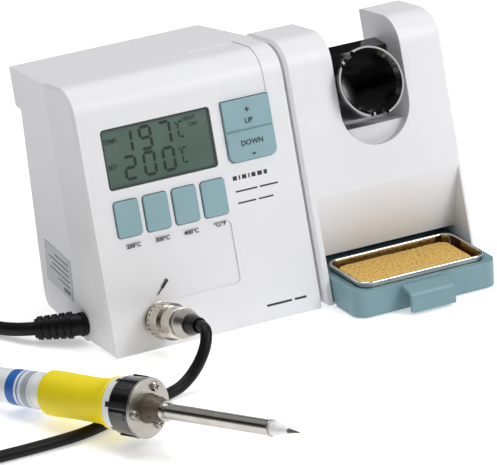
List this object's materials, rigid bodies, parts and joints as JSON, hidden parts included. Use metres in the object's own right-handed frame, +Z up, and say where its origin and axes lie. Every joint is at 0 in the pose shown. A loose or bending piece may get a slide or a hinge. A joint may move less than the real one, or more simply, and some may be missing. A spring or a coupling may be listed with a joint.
{
  "type": "soldering iron station",
  "caption": "Temperature-controlled soldering station with a leaning display panel, keys, an iron on a cord, a holder with a cup, and a pull-out sponge drawer.",
  "frame": {"origin": "on the bench under the middle of the station, holder and iron, cords left out", "axes": "+X to the right of the front face, +Y to the back, +Z up"},
  "size_m": [0.4045, 0.3907, 0.1321],
  "materials": {
    "shell_white": "satin moulded plastic",
    "key_blue": "satin",
    "drawer_blue": "satin",
    "lcd_glass": "clear",
    "lcd_panel": "matte",
    "board_green": "semi gloss",
    "black_plastic": "gloss",
    "black_rubber": "matte",
    "cord_black": "satin",
    "nickel": "satin nickel",
    "chromed_tin": "polished",
    "steel": "brushed",
    "core_steel": "lacquered laminations",
    "copper_coil": "taped winding",
    "sponge_yellow": "open cells",
    "grip_yellow": "matte",
    "handle_white": "gloss",
    "hub_mica": "matte",
    "heater_ceramic": "matte",
    "tip_plate": "matte plated",
    "label_blue": "printed",
    "label_grey": "printed",
    "pin_brass": "polished"
  },
  "bodies": {
    "station": {"front_shell": "shell_white", "rear_shell": "shell_white", "rubber_feet": "black_rubber", "case_screws": "steel", "rating_label": "label_grey", "lcd_window": "lcd_glass", "lcd_module": "lcd_panel", "control_board": "board_green", "tact_switches": "black_plastic", "panel_socket": "nickel", "socket_nut": "nickel", "transformer_core": "core_steel", "transformer_coil": "copper_coil", "transformer_screws": "steel", "mains_fuse": "lcd_glass", "power_switch_frame": "black_plastic", "holder_shell": "shell_white", "holder_base": "shell_white", "holder_back": "shell_white", "holder_screws": "steel", "iron_cup": "black_plastic", "plug_body": "nickel", "cord_clamp": "nickel", "plug_boot": "black_rubber", "iron_cord_front": "cord_black", "iron_cord_coil": "cord_black", "iron_cord_tail": "cord_black", "mains_boot": "black_rubber", "mains_cord_lead": "cord_black", "mains_cord_coil": "cord_black", "mains_cord_end": "cord_black", "mains_plug": "black_rubber", "plug_pins": "pin_brass"},
    "key_1": {"key_1": "key_blue"},
    "key_2": {"key_2": "key_blue"},
    "key_3": {"key_3": "key_blue"},
    "key_4": {"key_4": "key_blue"},
    "updown_key": {"updown_key": "key_blue"},
    "power_switch": {"power_switch_rocker": "black_plastic"},
    "coupling_ring": {"coupling_ring": "nickel"},
    "drawer": {"drawer": "drawer_blue"},
    "sponge_tin": {"sponge_tin": "chromed_tin"},
    "sponge": {"sponge": "sponge_yellow"},
    "iron": {"iron_handle": "handle_white", "grip_sleeve": "grip_yellow", "spacer_ring": "handle_white", "collar": "black_plastic", "flange_plate": "nickel", "flange_screws": "nickel", "hub": "hub_mica", "barrel_tube": "nickel", "heater": "heater_ceramic", "tip": "tip_plate", "iron_label": "label_blue", "iron_boot": "black_rubber"}
  },
  "joints": [
    {"name": "key_1_press", "type": "slide", "parent": "station", "child": "key_1", "axis": [0, 0.9664, -0.2571], "range_m": [0, 0.001], "stiffness_N_per_m": 600, "springref_m": -0.0004},
    {"name": "key_2_press", "type": "slide", "parent": "station", "child": "key_2", "axis": [0, 0.9664, -0.2571], "range_m": [0, 0.001], "stiffness_N_per_m": 600, "springref_m": -0.0004},
    {"name": "key_3_press", "type": "slide", "parent": "station", "child": "key_3", "axis": [0, 0.9664, -0.2571], "range_m": [0, 0.001], "stiffness_N_per_m": 600, "springref_m": -0.0004},
    {"name": "key_4_press", "type": "slide", "parent": "station", "child": "key_4", "axis": [0, 0.9664, -0.2571], "range_m": [0, 0.001], "stiffness_N_per_m": 600, "springref_m": -0.0004},
    {"name": "updown_rock", "type": "hinge", "parent": "station", "child": "updown_key", "pos_m": [0.0326, 0.0711, 0.09555], "axis": [1, 0, 0], "range_deg": [-2, 2], "stiffness_Nm_per_rad": 0.3},
    {"name": "power_switch_rock", "type": "hinge", "parent": "station", "child": "power_switch", "pos_m": [0.0208, 0.13682, 0.06075], "axis": [1, 0, 0], "range_deg": [-16, 0]},
    {"name": "coupling_ring_turn", "type": "hinge", "parent": "station", "child": "coupling_ring", "pos_m": [-0.034, 0.03663, 0.01655], "axis": [0, -0.9664, 0.2571], "continuous": true},
    {"name": "drawer_slide", "type": "slide", "parent": "station", "child": "drawer", "axis": [0, -1, 0], "range_m": [0, 0.035]},
    {"name": "tin_lift", "type": "slide", "parent": "drawer", "child": "sponge_tin", "axis": [0, 0, 1], "range_m": [0, 0.012]},
    {"name": "sponge_lift", "type": "slide", "parent": "sponge_tin", "child": "sponge", "axis": [0, 0, 1], "range_m": [0, 0.012]},
    {"name": "iron_lift", "type": "slide", "parent": "station", "child": "iron", "axis": [0, 0, 1], "range_m": [0, 0.08]}
  ]
}
